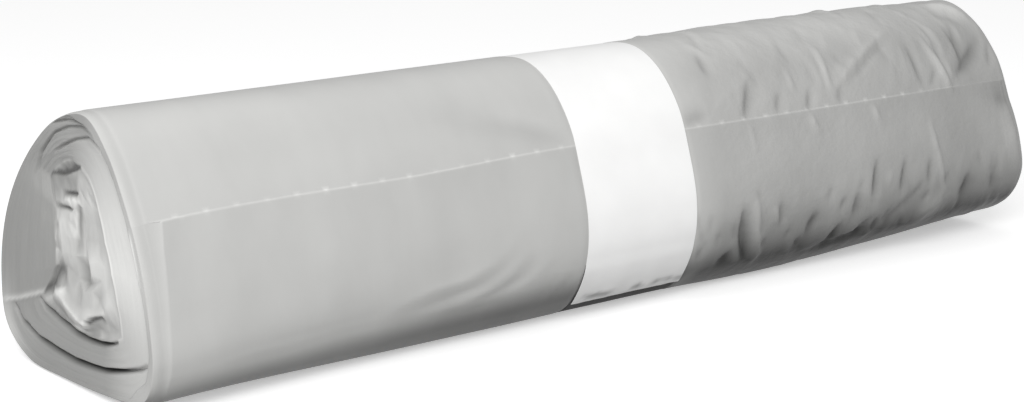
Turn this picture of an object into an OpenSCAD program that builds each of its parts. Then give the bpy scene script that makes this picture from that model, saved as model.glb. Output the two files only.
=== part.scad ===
// Roll of thin bin bags, wound without a tube and held by a paper band, lying on its side.
// X runs along the roll, the perforated edge of the last bag is on the -Y side, Z is up.
// The origin is at the middle of the base, where the roll rests on its flattened underside.

/* [Roll] */
// Length of the roll, which is the width of a folded bag
roll_len = 350; // [250:10:450]
// Width of the slumped roll across its base
roll_w = 95; // [80:1:110]
// Height of the slumped roll
roll_h = 80.5; // [70:0.5:95]
// How far the loosely wound half beyond the band swells
swell = 1; // [0:0.25:3]
// Length over which the near end's shape settles into that of the middle
settle = 100; // [60:10:140]
// How strongly the folds of the loose half stand out, as a factor
crumpled = 1; // [0:0.1:1.5]

/* [Last bag] */
// Step that the folded last bag makes on the skin of the roll
lap_t = 0.45; // [0.2:0.05:0.8]
// How far the side of the last bag lies in from the near end
lap_inset = 4.5; // [3:0.5:8]
// How much further in it lies at the perforated edge
lap_skew = 3.5; // [0:0.5:6]

/* [Turns] */
// Turns that stand apart at the ends
turns = 4; // [3:1:5]
// Plies that show in each turn at the near end
plies = 3; // [2:1:3]
// Gap between two turns at the sides of the roll
gap_side = 0.5; // [0.3:0.1:0.8]
// Gap between two turns above the hollow middle
gap_top = 1.2; // [0.6:0.1:1.8]
// Gap between two turns below the hollow middle
gap_base = 2; // [0.8:0.1:2.4]
// Depth of the gaps, measured in from the end
gap_depth = 7; // [2:0.5:10]
// How far the turns are drawn in towards the hollow middle
dish = 1.5; // [0.5:0.5:4]

/* [Hollow middle] */
// Width of the hollow in the middle of the turns
hollow_w = 29; // [20:1:34]
// Height of the hollow in the middle of the turns
hollow_h = 43; // [30:1:48]
// Height of the hollow's centre over the base
hollow_z = 41; // [36:1:45]
// Depth of the crumpled film behind the end under the top of the hollow
hollow_depth = 8; // [5:0.5:12]
// Height of the folds in the crumpled film
fold_h = 4; // [2:0.5:6]

/* [Paper band] */
// Width of the paper band along the roll
band_w = 44.5; // [30:0.5:60]
// Middle of the band along the roll
band_x = -3; // [-20:1:20]
// Thickness of the paper
band_t = 0.3; // [0.2:0.05:0.6]
// Room between the paper and the film that it squeezes
band_gap = 0.3; // [0.2:0.05:0.5]
// Length over which the glued ends of the paper lie double
band_lap = 16; // [8:1:24]

/* [Hidden] */

film_colour = [0.78, 0.78, 0.77];
paper_colour = [0.97, 0.97, 0.97];

// Outlines of the slumped roll, drawn in millimetres on a roll of the drawn width and height, from
// the widest place at the back, over the top, down the front and along the base.
drawn_w = 95;
drawn_h = 80.5;
near_outline = [[47, 23.5], [43, 39.5], [34, 54], [20.5, 67], [5, 76.5], [-12.5, 80], [-24.5, 72], [-33.5, 59],
    [-40, 45.5], [-44, 30.5], [-45, 15], [-38, 4.4], [-19, 1.6], [8, 0.4], [30.5, 0.8], [45, 9]];
band_outline = [[47, 23.5], [43.5, 39], [35, 54], [22.5, 67], [7, 76.5], [-11, 79.5], [-24.5, 74.5], [-35, 63],
    [-40.5, 49.5], [-44.5, 34], [-43.5, 20], [-36, 6.3], [-23, 0], [5, 0], [28.5, 0], [43, 9]];
far_outline = [[47.3, 24], [43, 39], [34.5, 53.5], [22, 66], [7, 75.5], [-9, 80], [-23, 74], [-33.5, 63],
    [-40, 50], [-45.5, 35], [-47.5, 22], [-40.5, 9.5], [-23.5, 3.5], [5.5, 3], [29.5, 3], [43.5, 11]];

// Places round the roll are counted in spans between the points of the outlines above.
spans = len(near_outline);
span_len = 16;
lap_at = 7.55;
lap_lean = 0.13;
band_end_at = 11.2;

// Folds of the film: from [x, place round the roll], to the same, half width, height. A minus is a
// crease pressed in. The roll is smooth on the near half and crumpled beyond the band.
folds = [
    [[52, 6.8], [46, 7.5], 4.5, -1.5], [[62, 7.1], [60, 7.5], 4, -1], [[76, 7.1], [74, 7.5], 4, -1],
    [[91, 7.2], [89, 7.5], 4, -0.8], [[88, 7.2], [101, 6.7], 4, 1], [[101, 6.7], [130, 5.8], 4, 1],
    [[144, 6.1], [145, 7.5], 4, 1], [[160, 6], [156, 7], 4.5, -1.2], [[171, 6.5], [150, 7.4], 7, -1.3],
    [[39, 9.4], [44, 10.7], 4.5, -1.9], [[56, 9.4], [56, 10], 4.5, -1.1], [[87, 10.2], [80, 10.9], 4.5, -1.2],
    [[91, 9.5], [90, 10.2], 4, -1], [[101, 8.9], [98, 9.8], 4.5, -1.7], [[114, 9], [111, 9.8], 4.5, -1.5],
    [[127, 9.1], [125, 9.7], 4, -1], [[120, 10.6], [134, 10.1], 6, 1.6], [[146, 9.7], [143, 10.4], 5, -1.4],
    [[38, 10.4], [33, 10.8], 4.5, -1], [[-101, 10.2], [-81, 9.8], 8, 0.6], [[-81, 9.8], [-59, 9.1], 8, 0.6],
    [[-73, 6.4], [-27, 7.4], 8, -0.5]];

cols_per_span = 4;
cols = spans * cols_per_span;
half_len = roll_len / 2;
band_lo = band_x - band_w / 2;
band_hi = band_x + band_w / 2;
waist = band_t + band_gap;
waist_ramp = 1.2;
edge_ramp = 2;
lap_ramp = 0.4;
lap_x0 = -half_len + lap_inset;
lap_x1 = half_len - edge_ramp - lap_ramp;

function wrap(i) = (i % spans + spans) % spans;
function mix(a, b, t) = a + (b - a) * t;
function clamped(t) = min(max(t, 0), 1);
function smooth(t) = let (c = clamped(t)) c * c * (3 - 2 * c);
function total(list) = list * [for (item = list) 1];

// Smooth closed curve through the points of an outline
function curve(o, v) =
    let (i = floor(v), t = v - i, a = o[wrap(i - 1)], b = o[wrap(i)], c = o[wrap(i + 1)], d = o[wrap(i + 2)])
    b + (c - a) * t / 2 + (2 * a - 5 * b + 4 * c - d) * t * t / 2 + (3 * b - a - 3 * c + d) * t * t * t / 2;

// Cross-section at x: the near end's outline turns into the band's, and that into the far end's.
function from_near(x) = 1 - pow(1 - clamped((x + half_len) / settle), 2);
function to_far(x) = smooth((x - band_hi - 20) / (half_len - band_hi - 20));
function section(x, v) =
    let (left = mix(curve(near_outline, v), curve(band_outline, v), from_near(x)),
        p = mix(left, curve(far_outline, v), to_far(x)))
    [p[0] * roll_w / drawn_w, p[1] * roll_h / drawn_h];

function outward(x, v) =
    let (d = section(x, v + 0.1) - section(x, v - 0.1))
    [d[1], -d[0]] / norm(d);

// Skin of the roll: columns of points start at the last bag's edge and run down the front.
function column_at(x, i) = lap_at + lap_lean * x / half_len + i * spans / cols;
function under_band(x) =
    smooth((x - band_lo) / waist_ramp + 1.2) * smooth((band_hi - x) / waist_ramp + 1.2);
function end_round(x) = 0.5 * pow(clamped(1 - (half_len - abs(x)) / edge_ramp), 2);
function swollen(x) = swell * smooth((x - band_hi) / 50) * smooth((half_len - x) / 60);

function stepped(x) = x > lap_x0 + lap_ramp / 2 && x < lap_x1 + lap_ramp / 2 && under_band(x) < 0.5;
function lap_step(x, i) = stepped(x) ? lap_t * (1 - i / cols) : 0;

function line_distance(p, a, b) =
    let (d = b - a, t = clamped((p - a) * d / (d * d)))
    norm(p - a - t * d);
function fold_relief(x, v) =
    let (p = [x, (v > spans ? v - spans : v) * span_len])
    crumpled * total([for (f = folds)
        f[3] * exp(-pow(line_distance(p, [f[0][0], f[0][1] * span_len], [f[1][0], f[1][1] * span_len]) / f[2], 2))]);

function relief(x, v, i) =
    swollen(x) + lap_step(x, i) - end_round(x) + mix(fold_relief(x, v), -waist, under_band(x));
function slanted(x, i) =
    abs(x - lap_x0) < 2 * lap_ramp ? x + lap_skew * clamped(1 - 5 * i / cols) : x;
function skin(x, i) =
    let (v = column_at(x, i), p = section(x, v) + outward(x, v) * relief(x, v, i))
    [slanted(x, i), p[0], max(p[1], waist * under_band(x))];

smooth_steps = 5;
crumpled_steps = 25;
stations = concat(
    [-half_len, -half_len + edge_ramp / 3, -half_len + edge_ramp, lap_x0, lap_x0 + lap_ramp],
    [for (k = [1 : smooth_steps]) mix(lap_x0 + lap_ramp, band_lo - 1.2 * waist_ramp, k / smooth_steps)],
    [band_lo - 0.2 * waist_ramp, band_hi + 0.2 * waist_ramp],
    [for (k = [0 : crumpled_steps]) mix(band_hi + 1.2 * waist_ramp, lap_x1, k / crumpled_steps)],
    [half_len - edge_ramp, half_len - edge_ramp / 3, half_len]);
rings = len(stations);

function skin_index(k, i) = k * (cols + 1) + (i == cols && !stepped(stations[k]) ? 0 : i);
skin_points = [for (x = stations) for (i = [0 : cols]) skin(x, i)];

// Ends of the roll. Down a column of an end, the points run from the skin to the hollow: each turn
// shows its plies as crests with small grooves between them, and a gap lies between two turns.
// The gap is a spiral: it leaves the skin at the last bag's edge and ends at the hollow.
function turn_points(n_plies) = max(2, 2 * n_plies - 1);
function column_points(n_plies) = (turns + 1) * (turn_points(n_plies) + 1) - 1;

// Direction of a column seen from the middle of the hollow, 0 at the back and 90 at the top
function direction(p) = atan2(p[2] - hollow_z, p[1]);
function hollow_point(a) = [0, hollow_w / 2 * cos(a), hollow_z + hollow_h / 2 * sin(a)];

// Share of the way from skin to hollow at which the spiral gap lies after s turns: the turns
// crowd under the skin at the sides and lie evenly above and below.
function gap_share(s, a) = pow(clamped(s / turns), 1.3 + 0.3 * cos(2 * a) + 0.15 * sin(a));
function gap_at(s, a) =
    mix(gap_side, a > 0 ? gap_top : gap_base, pow(sin(a), 2)) * clamped(s * 6) * clamped((turns - s) * 6);

// Depth behind the end: turns are drawn in unevenly, and one crimp runs across them low at the back.
crimp_dir = -32;
crimp_h = 2;
crimp_spread = 4;
function drawn_in(s, f, a) =
    dish * f + dish * 0.5 * (1 - cos(137 * s)) * clamped(s * 4)
        + crimp_h * exp(-pow((a - crimp_dir) / crimp_spread, 2)) * 4 * f * (1 - f);

function end_point(side, i, p, n_plies) =
    let (m = turn_points(n_plies) + 1, b = floor(p / m), k = p % m, in_gap = k == m - 1,
        rim = skin(side * half_len, i), a = direction(rim), core = hollow_point(a),
        wall = norm([core[1] - rim[1], core[2] - rim[2]]),
        s_out = b - 1 + i / cols, s_in = b + i / cols,
        f_out = b == 0 ? 0 : gap_share(s_out, a), f_in = b == turns ? 1 : gap_share(s_in, a),
        room = (f_in - f_out) / 3,
        from = f_out + (b == 0 ? 0 : min(room, gap_at(s_out, a) / 2 / wall)),
        to = f_in - (b == turns ? 0 : min(room, gap_at(s_in, a) / 2 / wall)),
        q = k / (m - 2),
        f = in_gap ? f_in : mix(from, to, q),
        s = in_gap ? s_in : mix(max(s_out, 0), min(s_in, turns), q),
        groove = in_gap ? gap_depth * min(1, 2 * s, 2 * (turns - s))
            : k % 2 == 1 && n_plies > 1 ? min(0.8, (to - from) * wall / 4) : 0)
    [side * (half_len - drawn_in(s, f, a) - groove), mix(rim[1], core[1], f), mix(rim[2], core[2], f)];

function end_points(side, n_plies) = [
    for (i = [0 : cols - 1]) for (p = [0 : column_points(n_plies) - 1]) end_point(side, i, p, n_plies)];

// One turn on, the points of a column are those of the first column one turn further in.
function end_index(base, ring, i, p, n_plies) =
    let (m = turn_points(n_plies) + 1, last = column_points(n_plies) - 1)
    i == cols ? end_index(base, ring, 0, min(p + m, last), n_plies)
    : i == 0 && p <= m ? skin_index(ring, 0)
    : p == 0 ? skin_index(ring, i)
    : base + i * (last + 1) + p;

// Crumpled film in the hollow: a net over the hollow with sharp upright folds, deepest at its top.
net = cols / 4;
function crease(t) = 1 - abs(sin(180 * t));
function crumple_depth(y, z) =
    let (up = clamped((z - hollow_z) / hollow_h + 0.5))
    mix(0.2, 0.9, up) * hollow_depth
        + fold_h * crease((y + 0.2 * (z - hollow_z) + 1.5 * sin(9 * z)) / 8) * mix(0.5, 0.8, up)
        + fold_h / 3 * crease((z - 0.5 * y) / 15);
function rim_point(i) =
    let (core = hollow_point(direction(skin(-half_len, i % cols))))
    [core[1], core[2]];
function net_point(s, t) =
    let (u = s / net, w = t / net)
    mix(rim_point(s), rim_point(3 * net - s), w) + mix(rim_point(cols - t), rim_point(net + t), u)
        - mix(mix(rim_point(0), rim_point(net), u), mix(rim_point(3 * net), rim_point(2 * net), u), w);
function net_points(side) = [
    for (s = [1 : net - 1]) for (t = [1 : net - 1])
        let (p = net_point(s, t))
        [side * (half_len - max(dish, crumple_depth(p[0], p[1]))), p[0], p[1]]];
function net_rim(s, t) = t == 0 ? s : s == net ? net + t : t == net ? 3 * net - s : (cols - t) % cols;
function net_index(base, net_base, ring, s, t, n_plies) =
    s % net == 0 || t % net == 0
        ? end_index(base, ring, net_rim(s, t), column_points(n_plies) - 1, n_plies)
        : net_base + (s - 1) * (net - 1) + t - 1;

net_size = (net - 1) * (net - 1);
near_base = rings * (cols + 1);
near_net = near_base + cols * column_points(plies);
far_base = near_net + net_size;
far_net = far_base + cols * column_points(1);

function quad(a, b, c, d) = [[a, c, b], [a, d, c]];
function turned(f, side) = side < 0 ? f : [f[0], f[2], f[1]];
function proper(f) = f[0] != f[1] && f[1] != f[2] && f[2] != f[0];

function skin_faces() = [
    for (k = [0 : rings - 2]) for (i = [0 : cols])
        let (j = i == cols ? 0 : i + 1)
        for (f = quad(skin_index(k, i), skin_index(k, j), skin_index(k + 1, j), skin_index(k + 1, i)))
            if (proper(f)) f];

function end_faces(side, base, net_base, ring, n_plies) =
    let (last = column_points(n_plies) - 1)
    concat(
        [for (i = [0 : cols - 1]) for (p = [0 : last - 1])
            for (f = quad(end_index(base, ring, i, p, n_plies), end_index(base, ring, i, p + 1, n_plies),
                    end_index(base, ring, i + 1, p + 1, n_plies), end_index(base, ring, i + 1, p, n_plies)))
                if (proper(f)) turned(f, side)],
        [for (s = [0 : net - 1]) for (t = [0 : net - 1])
            for (f = quad(net_index(base, net_base, ring, s, t, n_plies),
                    net_index(base, net_base, ring, s, t + 1, n_plies),
                    net_index(base, net_base, ring, s + 1, t + 1, n_plies),
                    net_index(base, net_base, ring, s + 1, t, n_plies)))
                turned(f, side)]);

module bag_roll() {
    points = concat(skin_points, end_points(-1, plies), net_points(-1), end_points(1, 1), net_points(1));
    faces = concat(skin_faces(),
        end_faces(-1, near_base, near_net, 0, plies),
        end_faces(1, far_base, far_net, rings - 1, 1));
    color(film_colour) polyhedron(points, faces, convexity = 10);
}

// Paper band: one strip wrapped round the squeezed middle of the roll, its end glued over its start.
// The outer end lies low on the front and stops where the strip's own start comes out under it.
band_steps = cols;
lap_spans = band_lap / span_len;
function band_place(i) = band_end_at - i * spans / band_steps;
function over_start(i) = band_t * clamped((lap_spans - i * spans / band_steps) * 3);
function band_point(v, off) =
    let (p = section(band_x, v) + outward(band_x, v) * off)
    [p[0], max(p[1], -min(off, 0))];

module paper_band() {
    outer = concat([for (i = [0 : band_steps - 1]) band_point(band_place(i), over_start(i))],
        [band_point(band_place(band_steps), 0)]);
    inner = [for (i = [0 : band_steps - 1]) band_point(band_place(i), -band_t)];
    color(paper_colour)
        translate([band_lo, 0, 0]) rotate([90, 0, 90]) linear_extrude(band_w)
            difference() {
                polygon(outer);
                polygon(inner);
            }
}

bag_roll();
paper_band();
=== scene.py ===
import math
import random

import bmesh
import bpy
import numpy as np
from mathutils import Matrix, Vector, noise
from mathutils.bvhtree import BVHTree
from mathutils.geometry import delaunay_2d_cdt


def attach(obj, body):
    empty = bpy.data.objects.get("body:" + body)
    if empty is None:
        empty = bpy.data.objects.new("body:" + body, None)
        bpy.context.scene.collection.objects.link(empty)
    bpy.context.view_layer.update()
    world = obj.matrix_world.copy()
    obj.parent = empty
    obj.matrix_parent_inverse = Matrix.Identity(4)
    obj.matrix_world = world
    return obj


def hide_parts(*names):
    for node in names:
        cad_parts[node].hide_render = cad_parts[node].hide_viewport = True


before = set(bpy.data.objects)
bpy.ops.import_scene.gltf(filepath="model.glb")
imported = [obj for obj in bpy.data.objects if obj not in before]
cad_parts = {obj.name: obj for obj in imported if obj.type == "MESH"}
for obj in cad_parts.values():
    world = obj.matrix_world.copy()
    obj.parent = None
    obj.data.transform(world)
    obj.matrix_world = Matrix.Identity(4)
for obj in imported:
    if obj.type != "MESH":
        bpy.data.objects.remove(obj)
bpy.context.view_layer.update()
scene = bpy.context.scene
scene.view_settings.view_transform = "Standard"

# Camera: the photograph looks at the end that shows its turns and along the front, from a little
# above the roll, with a long lens.
camera_place = (-0.43361, -0.53228, 0.18709)
camera_turn, camera_down, camera_roll = -37.85, 13.02, -0.31
camera_data = bpy.data.cameras.new("camera")
camera_data.sensor_width = 36
camera_data.lens = 75.78
camera_data.clip_start = 0.05
camera = bpy.data.objects.new("camera", camera_data)
camera.matrix_world = (
    Matrix.Translation(camera_place)
    @ Matrix.Rotation(math.radians(camera_turn), 4, "Z")
    @ Matrix.Rotation(math.radians(90 - camera_down), 4, "X")
    @ Matrix.Rotation(math.radians(camera_roll), 4, "Z"))
scene.collection.objects.link(camera)
scene.camera = camera

# Floor and light: a plain white table that keeps the roll's shadow, a soft lamp high over the
# near end, and an even white room.
floor_half = 6
floor_drop = 0.0002
bm = bmesh.new()
bmesh.ops.create_grid(bm, x_segments=1, y_segments=1, size=floor_half)
bmesh.ops.translate(bm, verts=bm.verts, vec=(0, 0, -floor_drop))
floor_mesh = bpy.data.meshes.new("floor")
bm.to_mesh(floor_mesh)
bm.free()
floor = bpy.data.objects.new("floor", floor_mesh)
scene.collection.objects.link(floor)


def new_material(name):
    """A material with nodes: gives it back with its nodes, links and shader."""
    material = bpy.data.materials.new(name)
    material.use_nodes = True
    tree = material.node_tree
    return material, tree.nodes, tree.links, tree.nodes["Principled BSDF"]


def math_node(nodes, links, kind, first, *rest):
    """A math node fed by sockets or plain numbers; gives its output back."""
    node = nodes.new("ShaderNodeMath")
    node.operation = kind
    for socket, value in zip(node.inputs, (first, *rest)):
        if isinstance(value, (int, float)):
            socket.default_value = value
        else:
            links.new(value, socket)
    return node.outputs[0]


def range_node(nodes, links, value, low, high, at_low, at_high):
    """A map range node, from at_low where the value is low to at_high where it is high."""
    node = nodes.new("ShaderNodeMapRange")
    numbers = {"From Min": low, "From Max": high, "To Min": at_low, "To Max": at_high}
    for socket, number in numbers.items():
        node.inputs[socket].default_value = number
    links.new(value, node.inputs["Value"])
    return node.outputs["Result"]


table_white, nodes, links, shader = new_material("table_white")
shader.inputs["Base Color"].default_value = (0.86, 0.86, 0.86, 1)
shader.inputs["Roughness"].default_value = 0.9
shader.inputs["Specular IOR Level"].default_value = 0.1
glow = nodes.new("ShaderNodeEmission")
glow.inputs["Strength"].default_value = 0.42
lit = nodes.new("ShaderNodeAddShader")
links.new(shader.outputs[0], lit.inputs[0])
links.new(glow.outputs[0], lit.inputs[1])
# The table glows only where it is seen. The light that it throws on the roll is duller.
path = nodes.new("ShaderNodeLightPath")
seen = math_node(nodes, links, "MAXIMUM", path.outputs["Is Camera Ray"], path.outputs["Is Glossy Ray"])
seen = math_node(nodes, links, "MAXIMUM", seen, path.outputs["Is Transmission Ray"])
dull = nodes.new("ShaderNodeBsdfDiffuse")
dull.inputs["Color"].default_value = (0.4, 0.4, 0.4, 1)
choice = nodes.new("ShaderNodeMixShader")
links.new(seen, choice.inputs[0])
links.new(dull.outputs[0], choice.inputs[1])
links.new(lit.outputs[0], choice.inputs[2])
links.new(choice.outputs[0], nodes["Material Output"].inputs["Surface"])
floor_mesh.materials.append(table_white)

room = bpy.data.worlds.new("room")
scene.world = room
room.use_nodes = True
nodes, links = room.node_tree.nodes, room.node_tree.links
backdrop = nodes["Background"]
backdrop.inputs["Color"].default_value = (1, 1, 1, 1)
path = nodes.new("ShaderNodeLightPath")
room_light = range_node(nodes, links, path.outputs["Is Camera Ray"], 0, 1, 0.5, 1)
links.new(room_light, backdrop.inputs["Strength"])

lamp_data = bpy.data.lights.new("soft_lamp", "AREA")
lamp_data.shape = "RECTANGLE"
lamp_data.size = 0.9
lamp_data.size_y = 0.7
lamp_data.energy = 14
lamp = bpy.data.objects.new("soft_lamp", lamp_data)
lamp_place = Vector((-0.8, -0.8, 0.7))
lamp_aim = Vector((-0.05, 0, 0.04))
lamp_turn = (lamp_aim - lamp_place).to_track_quat("-Z", "Y").to_matrix().to_4x4()
lamp.matrix_world = Matrix.Translation(lamp_place) @ lamp_turn
scene.collection.objects.link(lamp)

# Bags: one long folded web of thin grey film, perforated across and wound up without a tube, so the
# roll has slumped. Its skin is smooth on the near half and crumpled beyond the band, its turns show
# at the ends, and crumpled film fills the middle. Sizes are in millimetres until the mesh is placed.
mm = 0.001
half_len = 175
edge_ramp = 2
floor_gap = 0.02
# The band's two edges, the thickness of its paper, and how far it presses the skin in.
band_lo = -25.25
band_hi = 19.25
band_middle = (band_lo + band_hi) / 2
paper_t = 0.3
pressed_in = 0.03
# Outlines of the roll, [y, z]. A place round the roll is counted in their points, from the back
# over the top. One span from point to point is about 16 mm.
spans = 16
half_round = 8
span_len = 16
outlines = {
    "near": [(47, 23.5), (43, 39.5), (34, 54), (20.5, 67), (5, 76.5), (-12.5, 80), (-24.5, 72),
             (-33.5, 59), (-40, 45.5), (-44, 30.5), (-45, 15), (-38, 4.4), (-19, 1.6), (8, 0.4),
             (30.5, 0.8), (45, 9)],
    "band": [(47, 23.5), (43.5, 39), (35, 54), (22.5, 67), (7, 76.5), (-11, 79.5), (-24.5, 74.5),
             (-35, 63), (-40.5, 49.5), (-44.5, 34), (-43.5, 20), (-36, 6.3), (-23, 0), (5, 0),
             (28.5, 0), (43, 9)],
    "far": [(47.3, 24), (43, 39), (34.5, 53.5), (22, 66), (7, 75.5), (-9, 80), (-23, 74),
            (-33.5, 63), (-40, 50), (-45.5, 35), (-47.5, 22), (-40.5, 10.2), (-23.5, 4.3), (5.5, 3.5),
            (29.5, 3.3), (43.5, 11)],
}
# Free edge of the last bag: where it starts near the end, the thickness of its folded film, the
# place round the roll where it lies, how far it slants, and where and how far it sags lower.
lap_x = -half_len + 4.5
lap_t = 0.25
lap_at = 7.55
lap_lean = 0.13
bow_x = -88
bow = 0.125
# The last bag's film stops short of the near end. The plain strip beside it reaches to here.
lap_strip = -171.5


def smooth(t):
    """0 up to t = 0, 1 from t = 1, and an even bend between them."""
    c = np.clip(t, 0, 1)
    return c * c * (3 - 2 * c)


def curve(name, place):
    """Points of the smooth curve through an outline."""
    o = np.array(outlines[name], float)
    i = np.floor(place).astype(int)
    t = (place - i)[:, None]
    a, b, c, d = [o[(i + k) % spans] for k in (-1, 0, 1, 2)]
    squared = (2 * a - 5 * b + 4 * c - d) * t * t / 2
    cubed = (3 * b - a - 3 * c + d) * t ** 3 / 2
    return b + (c - a) * t / 2 + squared + cubed


def section(x, place):
    """Points [y, z] of the roll at x: the near outline turns into the band's, then the far one."""
    near = (1 - min(max((x + half_len) / 100, 0), 1)) ** 2
    far = float(smooth((x - band_hi - 20) / (half_len - band_hi - 20)))
    left = near * curve("near", place) + (1 - near) * curve("band", place)
    return (1 - far) * left + far * curve("far", place)


def outward(x, place):
    """Directions straight out of the section."""
    d = section(x, place + 0.05) - section(x, place - 0.05)
    d /= np.linalg.norm(d, axis=1)[:, None]
    return np.stack([d[:, 1], -d[:, 0]], axis=1)


def under_band(x):
    """1 under the band, 0 beside it."""
    return float(smooth((x - band_lo) / 1.2 + 1.2) * smooth((band_hi - x) / 1.2 + 1.2))


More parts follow.
